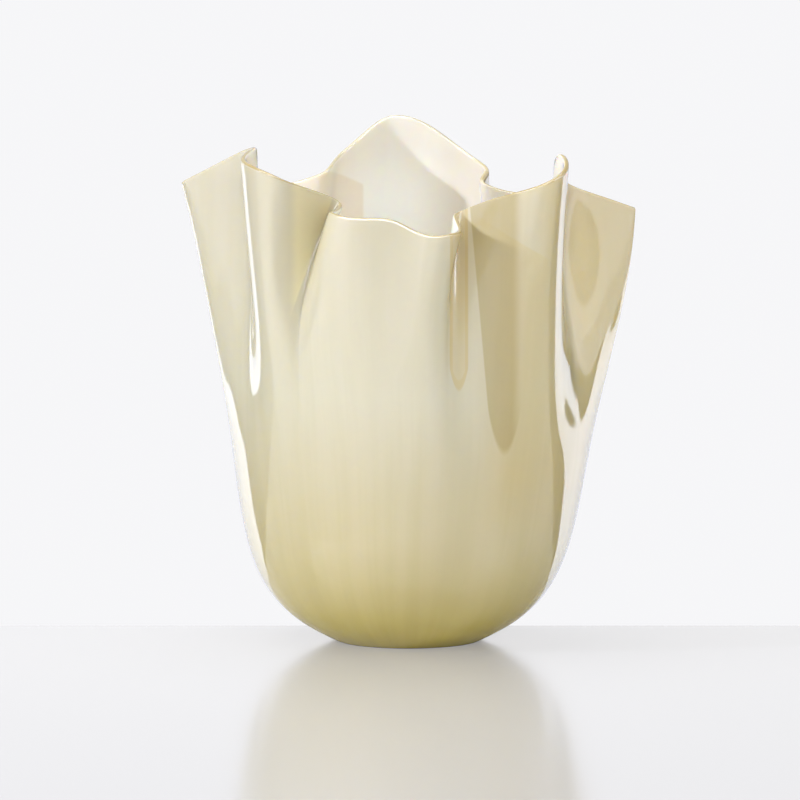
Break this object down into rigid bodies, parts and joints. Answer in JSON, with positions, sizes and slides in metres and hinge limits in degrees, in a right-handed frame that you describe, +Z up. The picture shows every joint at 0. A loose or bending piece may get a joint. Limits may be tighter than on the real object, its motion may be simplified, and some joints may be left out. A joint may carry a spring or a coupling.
{
  "type": "handkerchief vase",
  "caption": "Blown cased-glass vase: a round bowl on a small flat foot, whose upper wall opens into deep soft pleats like a handkerchief held up by its middle.",
  "frame": {"origin": "middle of the flat foot, in the plane that the vase stands on", "axes": "+Z up, -Y towards the front pleat and the viewer of the picture, +X to the viewer's right"},
  "size_m": [0.2544, 0.2284, 0.2891],
  "materials": {
    "cased_glass": "gloss"
  },
  "bodies": {
    "root": {"vase": "cased_glass"}
  },
  "joints": []
}
